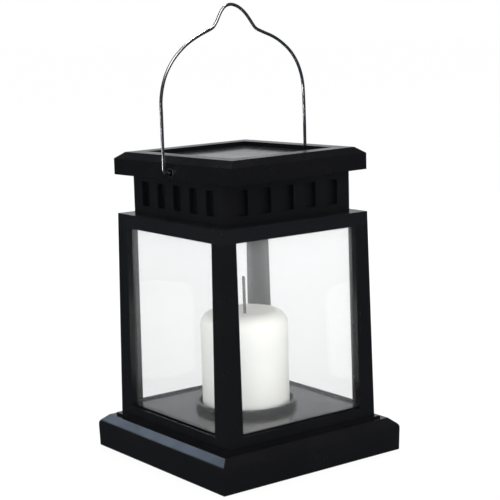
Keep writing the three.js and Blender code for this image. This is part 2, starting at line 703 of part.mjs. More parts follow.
// One wire: a stub in each bush, two upright legs, round shoulders and a peak in the middle.
// It is bent by hand, so the two halves are not quite alike.
function bailWire() {
  const { left, right, pivot, bend } = bail;
  const curve = bailCurve.map(([x, z]) => new THREE.Vector2(x, z));
  const outline = new THREE.Path();
  outline.moveTo(-bail.endInside, pivot);
  outline.lineTo(left + bend, pivot);
  outline.absarc(left + bend, pivot + bend, bend, -Math.PI / 2, -Math.PI, true);
  outline.lineTo(curve[0].x, curve[0].y);
  outline.splineThru(curve.slice(1));
  outline.lineTo(right, pivot + bend);
  outline.absarc(right - bend, pivot + bend, bend, 0, -Math.PI / 2, true);
  outline.lineTo(bail.endInside, pivot);
  return node('bail', tube(new UprightCurve(outline), bail.wire, 120), wireSteel);
}

// ---------------------------------------------------------------------------
// Candle, its tray and the LED
// ---------------------------------------------------------------------------

function candleTray() {
  const under = tray.top - tray.plate;
  const inner = tray.half - tray.skirt;
  const plate = square([
    [0, under], [inner, under], [inner, body.bottom], [tray.half, body.bottom],
    [tray.half, tray.top], [0, tray.top],
  ]);
  const ring = turned([
    [tray.ringInner, under + 1], [tray.ringOuter, under + 1],
    [tray.ringOuter, tray.ringTop - tray.ringBevel], [tray.ringOuter - tray.ringBevel, tray.ringTop],
    [tray.ringInner, tray.ringTop], [tray.ringInner, under + 1],
  ], 36);
  let cut = rod(tray.leadHole, under - 1, tray.top + 1);
  for (const [, sx, sy] of corners) {
    const [x0, x1] = sx > 0 ? [tray.cornerCut, beyond] : [-beyond, -tray.cornerCut];
    const [y0, y1] = sy > 0 ? [tray.cornerCut, beyond] : [-beyond, -tray.cornerCut];
    cut = cut.add(block(x0, x1, y0, y1, body.bottom - 1, tray.top + 1));
  }
  return node('candle_tray', plate.add(ring).subtract(cut), innerPlastic);
}

function candleShell() {
  const { radius, wall, top, edge, dish, cavityTop } = candle;
  const inner = radius - wall;
  const profile = [[0, cavityTop], [inner - 4, cavityTop], [inner, cavityTop - 4], [inner, tray.top],
    [radius, tray.top], [radius, top - edge]];
  const roundSteps = 5;
  for (let i = 1; i <= roundSteps; i += 1) {
    const angle = (i / roundSteps) * Math.PI / 2;
    profile.push([radius - edge * (1 - Math.cos(angle)), top - edge * (1 - Math.sin(angle))]);
  }
  const dishSteps = 4;
  const rim = radius - edge;
  for (let i = 1; i <= dishSteps; i += 1) {
    const share = i / dishSteps;
    profile.push([rim * (1 - share), top - dish * Math.sin(share * Math.PI / 2)]);
  }
  const well = rod(wick.radius + wick.gap, wick.bottom - wick.gap, top, wick.x, wick.y, 10);
  return node('candle_shell', turned(profile, 36).subtract(well), wax);
}

function wickRod() {
  return node('wick', rod(wick.radius, wick.bottom, wick.top, wick.x, wick.y, 10), wickFinish);
}

function ledBoard() {
  return node('led_board', rod(led.boardRadius, tray.top, tray.top + led.board, 0, 0, 20), fibreglass);
}

function ledLamp() {
  const floor = tray.top + led.board;
  const crown = floor + led.height - led.radius;
  const profile = [[0, floor], [led.flange, floor], [led.flange, floor + 1], [led.radius, floor + 1],
    [led.radius, crown]];
  for (let i = 1; i <= 5; i += 1) {
    const angle = (i / 5) * Math.PI / 2;
    profile.push([led.radius * Math.cos(angle), crown + led.radius * Math.sin(angle)]);
  }
  profile[profile.length - 1][0] = 0;
  return node('led', turned(profile, 12), amberLens);
}

function ledLead() {
  const route = new THREE.CatmullRomCurve3([
    [0, -12, 9.4], [0, -6, 9.8], [0, -1.5, 12], [0, 0, 16], [0, 0, 23.6],
  ].map((point) => new THREE.Vector3(...point)));
  return node('led_lead', tube(route, 0.7, 16), leadFinish);
}

// ---------------------------------------------------------------------------
// Assembly
// ---------------------------------------------------------------------------

lantern.add(plinthShell(), baseCover());
corners.forEach(([, sx, sy], i) => lantern.add(rubberFoot(i + 1, sx, sy), baseScrew(i + 1, sx, sy)));
lantern.add(batteryDoor(), batteryDoorScrew(), batteryCradle(), batteryCell());
lantern.add(contactPlate(), contactSpring());
lantern.add(circuitBoard(), switchHousing(), switchKnob());
lantern.add(sillFrame(), topFrame());
corners.forEach(([name, sx, sy]) => lantern.add(cornerPost(name, sx, sy)));
lantern.add(...windowPanes());
lantern.add(neckPart());
neckScrewPlaces().forEach(([x, y], i) => lantern.add(neckScrew(i + 1, x, y)));
lantern.add(candleTray(), candleShell(), wickRod(), ledBoard(), ledLamp(), ledLead(), panelLead());

capGroup.add(capShell(), capBasePlate());
corners.forEach(([, sx, sy], i) => capGroup.add(capScrew(i + 1, sx, sy)));
capGroup.add(panelSeal(), panelBoard(), panelGlass());
for (let i = 0; i < cell.count; i += 1) capGroup.add(solarCell(i));
capGroup.add(bailBush('left', -1), bailBush('right', 1), bailWire());

export default lantern;
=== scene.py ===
import json
import math

import bmesh
import bpy
from mathutils import Matrix, Vector


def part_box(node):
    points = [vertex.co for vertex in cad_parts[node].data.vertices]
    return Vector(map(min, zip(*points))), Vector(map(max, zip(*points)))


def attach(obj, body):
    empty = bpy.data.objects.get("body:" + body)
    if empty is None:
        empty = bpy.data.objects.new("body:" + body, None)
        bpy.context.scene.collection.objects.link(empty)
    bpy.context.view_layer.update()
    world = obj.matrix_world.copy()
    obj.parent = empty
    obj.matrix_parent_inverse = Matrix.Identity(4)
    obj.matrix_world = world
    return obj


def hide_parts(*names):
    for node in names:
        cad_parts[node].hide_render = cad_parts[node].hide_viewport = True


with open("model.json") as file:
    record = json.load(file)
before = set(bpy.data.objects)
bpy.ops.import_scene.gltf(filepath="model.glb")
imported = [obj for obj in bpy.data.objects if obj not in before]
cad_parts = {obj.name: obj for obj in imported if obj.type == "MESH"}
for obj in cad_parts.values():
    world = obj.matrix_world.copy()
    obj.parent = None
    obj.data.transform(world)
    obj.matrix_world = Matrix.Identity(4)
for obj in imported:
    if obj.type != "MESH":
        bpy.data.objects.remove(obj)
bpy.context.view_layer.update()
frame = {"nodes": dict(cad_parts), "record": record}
record = frame["record"]
MM = 0.001

# ---------------------------------------------------------------------------
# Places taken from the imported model
# ---------------------------------------------------------------------------

joints = {j["name"]: j for j in record["behaviour"]["joints"]}
bail_axis = Vector(joints["bail_swing"]["axis"])
CAP_TURN = math.atan2(bail_axis.y, bail_axis.x)
PIVOT = Vector(joints["bail_swing"]["pos_m"])


def low(node):
    return Vector(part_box(node)[0])


def high(node):
    return Vector(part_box(node)[1])


# ---------------------------------------------------------------------------
# Node helpers
# ---------------------------------------------------------------------------


class Nodes:
    """A node tree, emptied, with short ways to add and join nodes."""

    def __init__(self, tree):
        self.tree = tree
        tree.nodes.clear()

    def add(self, kind, inputs=(), **settings):
        node = self.tree.nodes.new(kind)
        for key, value in settings.items():
            setattr(node, key, value)
        for key, value in dict(inputs).items():
            self.join(value, node.inputs[key])
        return node

    def join(self, value, socket):
        if isinstance(value, bpy.types.NodeSocket):
            self.tree.links.new(value, socket)
        else:
            socket.default_value = value


class Finish(Nodes):
    """A material, with the patterns that its shaders are made from."""

    def __init__(self, name):
        self.material = bpy.data.materials.new(name)
        self.material.use_nodes = True
        super().__init__(self.material.node_tree)
        self.output = self.add("ShaderNodeOutputMaterial")

    def noise(self, scale, detail=4.0, stretch=(1, 1, 1)):
        place = self.add("ShaderNodeTexCoord").outputs["Object"]
        scaled = self.add("ShaderNodeMapping", {"Vector": place, "Scale": stretch}).outputs["Vector"]
        noise = self.add("ShaderNodeTexNoise", {
            "Vector": scaled, "Scale": scale, "Detail": detail, "Roughness": 0.55,
        })
        return noise.outputs["Fac"]

    def ramp(self, value, low_in, high_in, low_out, high_out):
        node = self.add("ShaderNodeMapRange", {
            "Value": value, "From Min": low_in, "From Max": high_in,
            "To Min": low_out, "To Max": high_out,
        })
        return node.outputs["Result"]

    def spread(self, noise, low_out, high_out):
        """Maps the middle of a noise's range, where most of it lies, to the given range."""
        return self.ramp(noise, 0.3, 0.7, low_out, high_out)

    def blend(self, factor, first, second):
        node = self.add("ShaderNodeMix", data_type="RGBA")
        self.join(factor, node.inputs["Factor"])
        self.join((*first, 1.0) if isinstance(first, tuple) else first, node.inputs["A"])
        self.join((*second, 1.0) if isinstance(second, tuple) else second, node.inputs["B"])
        return node.outputs["Result"]

    def bump(self, height, strength, distance):
        return self.add("ShaderNodeBump", {
            "Height": height, "Strength": strength, "Distance": distance,
        }).outputs["Normal"]

    def principled(self, **inputs):
        shader = self.add("ShaderNodeBsdfPrincipled")
        for key, value in inputs.items():
            self.join(value, shader.inputs[key.replace("_", " ")])
        self.join(shader.outputs["BSDF"], self.output.inputs["Surface"])


# ---------------------------------------------------------------------------
# Materials
# ---------------------------------------------------------------------------


def moulded_plastic(name, tone, gloss, specular=0.5):
    """Black moulded plastic: a faint cloudy tone, uneven gloss and a very fine moulded grain."""
    finish = Finish(name)
    cloud = finish.noise(scale=22.0, detail=3.0)
    grain = finish.noise(scale=2600.0, detail=2.0)
    darker = tuple(0.8 * c for c in tone)
    lighter = tuple(1.35 * c for c in tone)
    finish.principled(
        Base_Color=finish.blend(cloud, darker, lighter),
        Roughness=finish.spread(finish.noise(scale=60.0, detail=5.0), gloss - 0.05, gloss + 0.07),
        Specular_IOR_Level=specular,
        Normal=finish.bump(grain, strength=0.12, distance=0.04 * MM),
    )
    return finish.material


PAINTED_VEIL_FROM, PAINTED_VEIL_TO = 25 * MM, 115 * MM    # heights between which a window's painted reflection, a white veil, grows
SHEET_MIRROR = 0.045                        # share of light that a clear sheet mirrors when seen squarely


def clear_sheet(name, painted_veil_low, painted_veil_high, tint=(0.8, 0.8, 0.8), gloss=0.03):
    """A clear plastic sheet: seen straight through, with a mirror skin on both faces and a faint
    white veil, a painted reflection, that grows with height."""
    finish = Finish(name)
    through = finish.add("ShaderNodeBsdfTransparent", {"Color": (0.992, 0.994, 0.995, 1.0)})
    # Painted reflection: a white matt veil, more of it higher up and unevenly spread, that lightens what is
    # seen through the sheet
    painted_veil = finish.add("ShaderNodeBsdfDiffuse", {"Color": (0.94, 0.945, 0.95, 1.0)})
    place = finish.add("ShaderNodeTexCoord").outputs["Object"]
    height = finish.add("ShaderNodeSeparateXYZ", {"Vector": place}).outputs["Z"]
    veil_by_height = finish.ramp(height, PAINTED_VEIL_FROM, PAINTED_VEIL_TO, painted_veil_low, painted_veil_high)
    veil_smear = finish.spread(finish.noise(scale=14.0, stretch=(1, 1, 0.4)), 0.8, 1.2)
    amount = finish.add("ShaderNodeMath", {0: veil_by_height, 1: veil_smear}, operation="MULTIPLY").outputs[0]
    body = finish.add("ShaderNodeMixShader", {"Fac": amount})
    finish.join(through.outputs[0], body.inputs[1])
    finish.join(painted_veil.outputs[0], body.inputs[2])
    mirror = finish.add("ShaderNodeBsdfGlossy", {"Roughness": gloss, "Color": (*tint, 1.0)})
    facing = finish.add("ShaderNodeLayerWeight", {"Blend": 0.5}).outputs["Facing"]
    rise = finish.add("ShaderNodeMath", {0: facing, 1: 5.0}, operation="POWER").outputs[0]
    share = finish.ramp(rise, 0.0, 1.0, SHEET_MIRROR, 1.0)
    skin = finish.add("ShaderNodeMixShader", {"Fac": share})
    finish.join(body.outputs[0], skin.inputs[1])
    finish.join(mirror.outputs[0], skin.inputs[2])
    finish.join(skin.outputs[0], finish.output.inputs["Surface"])
    return finish.material


def candle_wax():
    """White wax that light sinks into, with faint streaks down its side."""
    finish = Finish("candle_wax")
    mottle = finish.noise(scale=45.0, detail=5.0)
    streak = finish.noise(scale=70.0, detail=3.0, stretch=(1, 1, 0.15))
    finish.principled(
        Base_Color=finish.blend(mottle, (0.95, 0.94, 0.865), (0.975, 0.965, 0.895)),
        Roughness=finish.spread(streak, 0.42, 0.58),
        Subsurface_Weight=0.35,
        Subsurface_Radius=(1.0, 0.9, 0.75),
        Subsurface_Scale=10 * MM,
        Normal=finish.bump(streak, strength=0.12, distance=0.6 * MM),
    )
    return finish.material


def wick_finish():
    """Dark grey plastic with a rough face."""
    finish = Finish("wick_plastic")
    finish.principled(
        Base_Color=finish.blend(finish.noise(scale=260.0), (0.06, 0.057, 0.055), (0.13, 0.125, 0.12)),
        Roughness=0.7,
        Normal=finish.bump(
            finish.noise(scale=900.0, stretch=(1, 1, 0.3)), strength=0.5, distance=0.2 * MM),
    )
    return finish.material


def steel(name, dark, bright, gloss, scale=70.0, grain=0.15):
    """Drawn or plated steel with fine marks and slightly uneven tone."""
    finish = Finish(name)
    finish.principled(
        Base_Color=finish.blend(finish.noise(scale), dark, bright),
        Metallic=1.0,
        Roughness=finish.spread(finish.noise(scale=400.0, detail=3.0), gloss - 0.06, gloss + 0.1),
        Normal=finish.bump(
            finish.noise(scale=1500.0, detail=3.0), strength=grain, distance=0.05 * MM),
    )
    return finish.material


def rubber():
    """Matt black rubber with a sandy face."""
    finish = Finish("black_rubber")
    finish.principled(
        Base_Color=finish.blend(finish.noise(scale=120.0), (0.012, 0.012, 0.012), (0.024, 0.024, 0.023)),
        Roughness=0.82,
        Normal=finish.bump(finish.noise(scale=1800.0), strength=0.4, distance=0.1 * MM),
    )
    return finish.material


FINGER_HALF_PITCH = 2.1 * MM    # half of the distance between the silver fingers of a solar cell
FINGER_HALF = 0.09 * MM         # half of a finger's width


def solar_cell():
    """Dark blue silicon with thin silver fingers across each cell."""
    finish = Finish("solar_silicon")
    place = finish.add("ShaderNodeTexCoord").outputs["Object"]
    turn = finish.add("ShaderNodeMapping", {"Vector": place, "Rotation": (0.0, 0.0, -CAP_TURN)})
    split = finish.add("ShaderNodeSeparateXYZ", {"Vector": turn.outputs["Vector"]})
    pitch = finish.add("ShaderNodeMath", {0: split.outputs["Y"], 1: FINGER_HALF_PITCH}, operation="PINGPONG")
    finger = finish.add("ShaderNodeMath", {0: pitch.outputs[0], 1: FINGER_HALF}, operation="LESS_THAN")
    flakes = finish.add("ShaderNodeTexVoronoi", {"Vector": turn.outputs["Vector"], "Scale": 220.0})
    tone = finish.blend(flakes.outputs["Distance"], (0.008, 0.012, 0.035), (0.02, 0.032, 0.085))
    finish.principled(
        Base_Color=finish.blend(finger.outputs[0], tone, (0.42, 0.43, 0.45)),
        Roughness=0.3,
        Specular_IOR_Level=0.5,
        Metallic=finish.ramp(finger.outputs[0], 0.0, 1.0, 0.0, 0.6),
    )
    return finish.material


def plain(name, first, second, gloss, scale=150.0, **more):
    """A simple moulded or wrapped finish with a faint mottle."""
    finish = Finish(name)
    finish.principled(
        Base_Color=finish.blend(finish.noise(scale), first, second),
        Roughness=gloss,
        Normal=finish.bump(finish.noise(scale=1600.0), strength=0.1, distance=0.05 * MM),
        **more,
    )
    return finish.material


BLACK = (0.0035, 0.0035, 0.0042)
INNER = (0.005, 0.005, 0.0055)
# Painted sheen: the top frame's black is lighter and bluer than the rest, standing in for the bluish
# reflection on its outer faces
FRAME_PAINTED_SHEEN = (0.0044, 0.0050, 0.0060)
finishes = {
    "black_plastic": moulded_plastic("black_abs", BLACK, 0.21),
    "inner_plastic": moulded_plastic("black_abs_inner", INNER, 0.30),
    "tray_plastic": moulded_plastic("black_abs_tray", INNER, 0.17, 0.9),
    "cap_plastic": moulded_plastic("black_abs_cap", BLACK, 0.24, 0.22),
    "frame_plastic_painted_sheen": moulded_plastic("black_abs_frame_painted_sheen", FRAME_PAINTED_SHEEN, 0.21),
    "rubber": rubber(),
    "screw_steel": steel("zinc_steel", (0.38, 0.38, 0.39), (0.55, 0.55, 0.56), 0.32),
    "spring_steel": steel("nickel_spring", (0.5, 0.5, 0.5), (0.68, 0.67, 0.65), 0.22),
    "cell_wrap": plain("cell_wrap", (0.02, 0.13, 0.05), (0.03, 0.17, 0.07), 0.3),
    "fibreglass": plain("circuit_mask", (0.008, 0.07, 0.025), (0.015, 0.1, 0.035), 0.35),
    "clear_sheet": clear_sheet("clear_polystyrene", 0.02, 0.08),
    "panel_cover": clear_sheet("panel_epoxy", 0.01, 0.01, (0.79, 0.755, 0.72), 0.12),
    "wax": candle_wax(),
    "wick": wick_finish(),
    "amber_lens": plain(
        "amber_epoxy", (0.85, 0.42, 0.06), (0.95, 0.55, 0.12), 0.12, Transmission_Weight=0.6),
    "lead_jacket": plain("lead_jacket", (0.22, 0.012, 0.012), (0.3, 0.02, 0.02), 0.45),
    "sealant": plain("sealant", (0.012, 0.012, 0.012), (0.02, 0.02, 0.02), 0.55),
    "silicon": solar_cell(),
    "bail_wire": steel("bail_steel", (0.30, 0.30, 0.31), (0.62, 0.62, 0.63), 0.20, 45.0, 0.04),
}


def paint(piece, slot, finish=None):
    """Gives a piece its material: the finish given, or else the one named after its slot."""
    material = finish or finishes[slot]
    if not piece.material_slots:
        piece.data.materials.append(material)
    else:
        for entry in piece.material_slots:
            entry.material = material


# ---------------------------------------------------------------------------
# Carried-over CAD nodes: a finish for each, and soft edges on the mouldings
# ---------------------------------------------------------------------------


def soften(piece, width, segments=3, angle=28.0):
    """Joins flat triangles into whole faces, then rounds the edges between them."""
    flat = piece.modifiers.new("flat_faces", "DECIMATE")
    flat.decimate_type = "DISSOLVE"
    flat.angle_limit = math.radians(1.0)
    edge = piece.modifiers.new("soft_edges", "BEVEL")
    edge.width = width
    edge.segments = segments
    edge.limit_method = "ANGLE"
    edge.angle_limit = math.radians(angle)
    edge.use_clamp_overlap = True
    edge.harden_normals = True
    edge.miter_outer = "MITER_ARC"


# Radius of the soft edges of each moulding, in millimetres.
EDGE = {
    "plinth": 0.9, "base_cover": 0.3, "battery_door": 0.25, "sill_frame": 0.4, "top_frame": 0.8,
    "cap": 0.7, "cap_base_plate": 0.3, "neck": 0.8, "battery_cradle": 0.3, "switch_knob": 0.2,
    "candle_tray": 0.25, "led": 0.15, "led_board": 0.15, "battery_cell": 0.2, "circuit_board": 0.15,
}
POST_EDGE = 0.5

# Nodes whose finish isn't the one that is named after their slot.
OWN_FINISH = {
    "panel_glass": "panel_cover", "candle_tray": "tray_plastic",
    "cap": "cap_plastic", "top_frame": "frame_plastic_painted_sheen",
}
for node, piece in frame["nodes"].items():
    slot_name = next(row["material_slot"] for row in record["subparts"] if row["node"] == node)
    own = OWN_FINISH.get(node, slot_name)
    paint(piece, slot_name, finishes[own])
    width = POST_EDGE if node.startswith("corner_post") else EDGE.get(node)
    if width:
        soften(piece, width * MM)
    for polygon in piece.data.polygons:
        polygon.use_smooth = bool(width)


# ---------------------------------------------------------------------------
# Finely built pieces that stand for CAD nodes
# ---------------------------------------------------------------------------


def add_piece(name, node, body, shape, slot):
    """Turns a finished bmesh into a smooth-shaded piece that stands for one CAD node."""
    bmesh.ops.recalc_face_normals(shape, faces=shape.faces[:])
    mesh = bpy.data.meshes.new(name)
    shape.to_mesh(mesh)
    shape.free()
    for polygon in mesh.polygons:
        polygon.use_smooth = True
    piece = bpy.data.objects.new(name, mesh)
    bpy.context.scene.collection.objects.link(piece)
    paint(piece, slot)
    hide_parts(node)
    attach(piece, body)
    return piece


def ring_of(shape, middle, first, second, radius, sides):
    """New vertices round a circle in the plane of the two directions."""
    points = []
    for k in range(sides):
        a = 2 * math.pi * k / sides
        points.append(shape.verts.new(middle + radius * (math.cos(a) * first + math.sin(a) * second)))
    return points


def bridge(shape, a, b):
    """Faces between two rings with as many vertices."""
    count = len(a)
    for k in range(count):
        shape.faces.new((a[k], a[(k + 1) % count], b[(k + 1) % count], b[k]))


def turned(profile, middle, sides, axis=Vector((0, 0, 1)), uneven=None):
    """A turned form. The profile is a line of (radius, height) pairs, and uneven may shift a vertex."""
    first = axis.orthogonal().normalized()
    second = axis.cross(first).normalized()
    shape = bmesh.new()
    rings = []
    for radius, height in profile:
        centre = middle + height * axis
        if radius < 1e-7:
            rings.append([shape.verts.new(centre)])
            continue
        ring = ring_of(shape, centre, first, second, radius, sides)
        if uneven:
            for vertex in ring:
                vertex.co += uneven(vertex.co - middle)
        rings.append(ring)
    for a, b in zip(rings, rings[1:]):
        if len(a) == 1 or len(b) == 1:
            tip, ring = (a[0], b) if len(a) == 1 else (b[0], a)
            for k in range(sides):
                shape.faces.new((tip, ring[k], ring[(k + 1) % sides]))
        else:
            bridge(shape, a, b)
    return shape


def swept(points, radius_at, sides=14):
    """A round rod along a line of points, with flat closed ends."""
    shape = bmesh.new()
    count = len(points)
    rings = []
    side = None
    for i, point in enumerate(points):
        ahead = (points[min(i + 1, count - 1)] - points[max(i - 1, 0)]).normalized()
        side = ahead.orthogonal() if side is None else side - side.dot(ahead) * ahead
        side.normalize()
        rings.append(ring_of(shape, point, side, ahead.cross(side), radius_at(i / (count - 1)), sides))
    for a, b in zip(rings, rings[1:]):
        bridge(shape, a, b)
    shape.faces.new(rings[0])
    shape.faces.new(rings[-1])
    return shape


def smooth_line(points, steps):
    """Points along a curve that passes through every given point."""
    line = []
    ends = [points[0]] + list(points) + [points[-1]]
    for p0, p1, p2, p3 in zip(ends, ends[1:], ends[2:], ends[3:]):
        for k in range(steps):
            t = k / steps
            line.append(0.5 * (
                2 * p1 + (p2 - p0) * t + (2 * p0 - 5 * p1 + 4 * p2 - p3) * t ** 2
                + (3 * p1 - p0 - 3 * p2 + p3) * t ** 3))
    line.append(points[-1])
    return line


# The wire's middle line in millimetres, across from the middle and up from the pivot. It is bent by
# hand, so its two halves differ.
WIRE_LINE = [
    (-50.6, 20.0), (-50.6, 29.0), (-50.6, 36.0), (-49.4, 42.6), (-47.0, 48.8), (-43.2, 54.4),
    (-38.3, 59.3), (-32.3, 63.6), (-25.0, 67.2), (-18.5, 69.7), (-15.2, 71.3), (-12.9, 74.0),
    (-11.2, 76.8), (-9.3, 79.5), (-6.7, 81.6), (-3.0, 82.4), (1.0, 81.5), (4.3, 79.7), (7.1, 77.4),
    (9.4, 74.9), (11.6, 72.2), (13.8, 70.0), (17.5, 68.4), (26.1, 65.3), (32.6, 61.7), (38.2, 57.3),
    (42.6, 51.8), (45.4, 45.9), (46.9, 39.6), (47.3, 32.5), (47.5, 24.0),
]
WIRE_LEFT = WIRE_LINE[0][0]     # place of the left leg
WIRE_RIGHT = 47.55              # place of the right leg
WIRE_LEGS = (8.0, 14.0, 16.0)   # heights of the points on the straight legs: both, left, right
WIRE_STUBS = (46.0, 44.0)       # a point on the straight stub in the left and in the right bush
WIRE_ENDS = 42.6                # the ends of the wire, inside the cap
WIRE_BEND = 2.4                 # radius between a stub and its leg
BEND_STEPS = 6
WIRE_PEAK = 82.8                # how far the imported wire's middle line rises over the pivot


def wire_points():
    """The whole middle line: a stub in each bush, a quarter bend, a leg, and the line between the legs."""
    def bend(x, side):
        quarter = [math.radians(90 * k / BEND_STEPS) for k in range(BEND_STEPS + 1)]
        return [(x - side * WIRE_BEND * (1 - math.sin(a)), WIRE_BEND * (1 - math.cos(a))) for a in quarter]

    low_point, left_point, right_point = WIRE_LEGS
    flat = [(-WIRE_ENDS, 0.0), (-WIRE_STUBS[0], 0.0)] + bend(WIRE_LEFT, -1)
    flat += [(WIRE_LEFT, low_point), (WIRE_LEFT, left_point)]
    flat += WIRE_LINE
    flat += [(WIRE_RIGHT, right_point), (WIRE_RIGHT, low_point)]
    flat += bend(WIRE_RIGHT, 1)[::-1] + [(WIRE_STUBS[1], 0.0), (WIRE_ENDS, 0.0)]
    across = Vector((math.cos(CAP_TURN), math.sin(CAP_TURN), 0.0))
    return [PIVOT + MM * (x * across + Vector((0, 0, z))) for x, z in flat]


def make_bail():
    """The bail as one smooth round wire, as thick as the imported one."""
    line = smooth_line(wire_points(), 5)
    radius = high("bail").z - PIVOT.z - WIRE_PEAK * MM
    add_piece("bail_wire", "bail", "bail", swept(line, lambda t: radius), "bail_wire")


CANDLE_WALL = 2.2 * MM
CANDLE_EDGE = 7.0 * MM          # radius of the rounded top edge
CANDLE_DISH = 1.8 * MM          # depth of the dished top
CANDLE_WAIST = 0.1 * MM         # how much the side draws in halfway up
CANDLE_CROWN = 9.2 * MM         # from the top of the candle down to the hollow
HOLLOW_CHAMFER = 4.0 * MM       # chamfer round the top of the hollow


def make_candle():
    """A thick hollow shell with a solid top, a rounded edge and a dished, slightly wavy crown."""
    (x0, y0, z0), (x1, y1, z1) = low("candle_shell"), high("candle_shell")
    middle = Vector(((x0 + x1) / 2, (y0 + y1) / 2, z0))
    radius, height = (x1 - x0) / 2, z1 - z0
    inner, crown, rim = radius - CANDLE_WALL, height - CANDLE_CROWN, radius - CANDLE_EDGE
    foot = 0.3 * MM
    profile = [(0.0, crown), (inner - HOLLOW_CHAMFER, crown), (inner, crown - HOLLOW_CHAMFER)]
    profile += [(inner, 0.0), (radius - foot, 0.0), (radius, foot)]
    side_steps = 8
    for k in range(1, side_steps):
        drawn_in = CANDLE_WAIST * math.sin(math.pi * k / side_steps)
        profile.append((radius - drawn_in, height * 0.1 * k))
    edge_steps = 10
    for k in range(edge_steps + 1):
        a = math.radians(90 * k / edge_steps)
        profile.append((rim + CANDLE_EDGE * math.cos(a), height - CANDLE_EDGE * (1 - math.sin(a))))
    dish_steps = 8
    for k in range(1, dish_steps + 1):
        depth = CANDLE_DISH * math.sin(math.radians(90 * k / dish_steps))
        profile.append((rim * (1 - k / dish_steps), height - depth))

    def uneven(place):
        """Lowers the top by up to a third of a millimetre, in soft waves round the candle."""
        if place.z <= height * 0.8:
            return Vector()
        angle = math.atan2(place.y, place.x)
        wave = 0.10 * math.sin(3 * angle + 0.7) + 0.06 * math.sin(5 * angle + 2.1)
        return Vector((0, 0, MM * (wave - 0.16)))

    shape = turned(profile, middle, 96, uneven=uneven)
    add_piece("candle_body", "candle_shell", "root", shape, "wax")


def make_wick():
    """A thin rod with an uneven side and a narrowed tip, which leans a little."""
    bottom, top = low("wick"), high("wick")
    x, y = (bottom.x + top.x) / 2, (bottom.y + top.y) / 2
    radius = (top.x - bottom.x) / 2
    base, tip = Vector((x, y, bottom.z)), Vector((x - 0.25 * MM, y + 0.15 * MM, top.z))
    steps = 24
    points = [base.lerp(tip, k / steps) for k in range(steps + 1)]
    rough = [0.88 + 0.08 * math.sin(2.3 * k) for k in range(steps)] + [0.55]
    shape = swept(points, lambda t: radius * rough[round(steps * t)], 16)
    add_piece("wick_rod", "wick", "root", shape, "wick")


BUSH_OUTER, BUSH_INNER = 2.6 * MM, 1.8 * MM
BUSH_NEAR, BUSH_FAR = 43.9 * MM, 46.6 * MM      # the bush's ends, measured from the cap's middle


def make_bush(name, side):
    """A short tube on the bail's axis, with both edges of its outer end eased."""
    across = Vector((math.cos(CAP_TURN), math.sin(CAP_TURN), 0.0)) * side
    outside, inside = 0.2 * MM, 0.15 * MM
    profile = [
        (BUSH_INNER, BUSH_NEAR), (BUSH_OUTER, BUSH_NEAR),
        (BUSH_OUTER, BUSH_FAR - outside), (BUSH_OUTER - outside, BUSH_FAR),
        (BUSH_INNER + inside, BUSH_FAR), (BUSH_INNER, BUSH_FAR - inside), (BUSH_INNER, BUSH_NEAR),
    ]
    shape = turned(profile, PIVOT, 48, across)
    bmesh.ops.remove_doubles(shape, verts=shape.verts[:], dist=1e-7)
    add_piece(f"bush_{name}", f"bail_bush_{name}", "cap", shape, "inner_plastic")


def make_foot(number):
    """A rubber disc with a rounded rim and a slightly hollow sole."""
    node = f"rubber_foot_{number}"
    (x0, y0, z0), (x1, y1, z1) = low(node), high(node)
    middle, radius, height = Vector(((x0 + x1) / 2, (y0 + y1) / 2, z0)), (x1 - x0) / 2, z1 - z0
    profile = [
        (0.0, 0.12 * MM), (radius * 0.6, 0.1 * MM), (radius * 0.72, 0.0), (radius - 0.5 * MM, 0.0),
        (radius - 0.2 * MM, 0.1 * MM), (radius, 0.4 * MM), (radius, height), (0.0, height),
    ]
    add_piece(f"foot_{number}", node, "root", turned(profile, middle, 48), "rubber")


SCREW_HEAD = 0.9 * MM           # height of a screw's head, where the table has no other
SCREW_HEADS = {"battery_door_screw": 0.45 * MM, "neck_screw": 1.5 * MM}
SHANK = 1.1 * MM
THREAD_TURNS = 7


def screw_profile(radius, head, length):
    """From the open rim under the cross recess, round the head and along the thread to the point."""
    profile = [
        (radius - 0.35 * MM, 0.0), (radius - 0.12 * MM, 0.1 * MM), (radius, 0.32 * MM), (radius, head),
        (SHANK, head),
    ]
    threaded = length - head - 1.0 * MM
    for k in range(THREAD_TURNS):
        z = head + threaded * (k + 0.5) / THREAD_TURNS
        profile += [(SHANK, z - 0.15 * MM), (SHANK * 0.86, z + 0.1 * MM)]
    return profile + [(SHANK * 0.9, length - 0.9 * MM), (0.0, length)]


def make_screw(node, body):
    """A pan-head screw that points up, with a cross recess in its head."""
    (x0, y0, z0), (x1, y1, z1) = low(node), high(node)
    middle, radius = Vector(((x0 + x1) / 2, (y0 + y1) / 2, z0)), (x1 - x0) / 2
    kind = node.rstrip("_1234")
    head = SCREW_HEADS.get(kind, SCREW_HEAD)
    shape = turned(screw_profile(radius, head, z1 - z0), middle, 32)
    rim = [e for e in shape.edges if len(e.link_faces) == 1]
    reach, half, depth, taper = radius * 0.6, 0.3 * MM, head * 0.6, 0.85
    outline = [
        (-half, -reach), (half, -reach), (half, -half), (reach, -half), (reach, half), (half, half),
        (half, reach), (-half, reach), (-half, half), (-reach, half), (-reach, -half), (-half, -half),
    ]
    upper = [shape.verts.new(middle + Vector((x, y, 0.0))) for x, y in outline]
    floor = [shape.verts.new(middle + Vector((x * taper, y * taper, depth))) for x, y in outline]
    cross = [shape.edges.new(pair) for pair in zip(upper, upper[1:] + upper[:1])]
    bmesh.ops.triangle_fill(shape, use_beauty=True, edges=rim + cross, normal=Vector((0, 0, -1)))
    bridge(shape, upper, floor)
    shape.faces.new(floor)
    piece = add_piece(f"{node}_fine", node, body, shape, "screw_steel")
    for polygon in piece.data.polygons:
        polygon.use_smooth = len(polygon.vertices) == 4 and abs(polygon.normal.z) < 0.99


